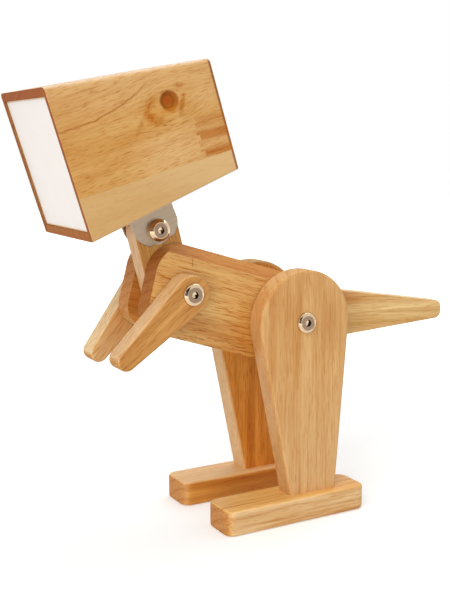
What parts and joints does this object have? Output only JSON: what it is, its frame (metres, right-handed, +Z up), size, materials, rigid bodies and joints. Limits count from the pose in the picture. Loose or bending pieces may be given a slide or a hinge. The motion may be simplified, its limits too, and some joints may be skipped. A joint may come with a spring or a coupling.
{
  "type": "wooden dinosaur table lamp",
  "caption": "Table lamp in the shape of a standing dinosaur: wooden boards that swing on through bolts, with a box head whose front is a white light panel.",
  "frame": {"origin": "middle of the lamp's length and width, on the surface that it stands on", "axes": "+Z up; the dinosaur looks towards -X, and its left side is towards -Y"},
  "size_m": [0.4136, 0.12, 0.3902],
  "materials": {
    "rubberwood": "clear lacquer, satin",
    "nickel_hardware": "bright nickel plate",
    "zinc_screws": "zinc plate",
    "nylon_washers": "natural nylon",
    "opal_acrylic": "opal, satin",
    "led_aluminium": "mill finish",
    "led_lens": "phosphor under resin",
    "brass_spacers": "turned",
    "black_plastic": "moulded, fine grain",
    "satin_steel": "satin"
  },
  "bodies": {
    "torso": {"left_body_panel": "rubberwood", "right_body_panel": "rubberwood", "body_spacer": "rubberwood", "spacer_dowels": "rubberwood", "shoulder_bolt": "nickel_hardware", "shoulder_nut": "nickel_hardware", "hip_bolt": "nickel_hardware", "hip_nut": "nickel_hardware", "arm_washers": "nylon_washers", "neck_washers": "nylon_washers", "leg_washers": "nylon_washers", "tail_washers": "nylon_washers"},
    "left_leg": {"left_leg": "rubberwood", "left_foot": "rubberwood", "left_foot_screws": "zinc_screws"},
    "right_leg": {"right_leg": "rubberwood", "right_foot": "rubberwood", "right_foot_screws": "zinc_screws"},
    "left_arm": {"left_arm": "rubberwood"},
    "right_arm": {"right_arm": "rubberwood"},
    "tail": {"tail_board": "rubberwood"},
    "neck": {"neck_board": "rubberwood", "head_washers": "nylon_washers"},
    "head": {"head_left_panel": "rubberwood", "head_right_panel": "rubberwood", "head_top_board": "rubberwood", "head_bottom_board": "rubberwood", "head_back_board": "rubberwood", "back_battens": "rubberwood", "back_screws": "zinc_screws", "diffuser_frame": "rubberwood", "light_diffuser": "opal_acrylic", "led_plate": "led_aluminium", "leds": "led_lens", "plate_spacers": "brass_spacers", "led_driver": "black_plastic", "head_bracket": "satin_steel", "bracket_screws": "zinc_screws", "head_bolt": "nickel_hardware", "head_nut": "nickel_hardware", "switch_body": "black_plastic", "lead_gland": "black_plastic"},
    "button": {"switch_button": "black_plastic"}
  },
  "joints": [
    {"name": "left_leg_swing", "type": "hinge", "parent": "torso", "child": "left_leg", "pos_m": [0.01979, 0, 0.174], "axis": [0, 1, 0], "range_deg": [-15, 15]},
    {"name": "right_leg_swing", "type": "hinge", "parent": "torso", "child": "right_leg", "pos_m": [0.01979, 0, 0.174], "axis": [0, 1, 0], "range_deg": [-15, 15]},
    {"name": "left_arm_swing", "type": "hinge", "parent": "torso", "child": "left_arm", "pos_m": [-0.08771, 0, 0.2063], "axis": [0, 1, 0], "range_deg": [-45, 38]},
    {"name": "right_arm_swing", "type": "hinge", "parent": "torso", "child": "right_arm", "pos_m": [-0.08771, 0, 0.2063], "axis": [0, 1, 0], "range_deg": [-35, 48]},
    {"name": "tail_swing", "type": "hinge", "parent": "torso", "child": "tail", "pos_m": [0.01979, 0, 0.174], "axis": [0, 1, 0], "range_deg": [-25, 20]},
    {"name": "neck_swing", "type": "hinge", "parent": "torso", "child": "neck", "pos_m": [-0.08771, 0, 0.2063], "axis": [0, 1, 0], "range_deg": [-15, 20]},
    {"name": "head_tilt", "type": "hinge", "parent": "neck", "child": "head", "pos_m": [-0.09997, 0, 0.25549], "axis": [0, 1, 0], "range_deg": [-20, 25]},
    {"name": "button_press", "type": "slide", "parent": "head", "child": "button", "axis": [-0.9563, 0, -0.2924], "range_m": [0, 0.0015], "stiffness_N_per_m": 300}
  ]
}
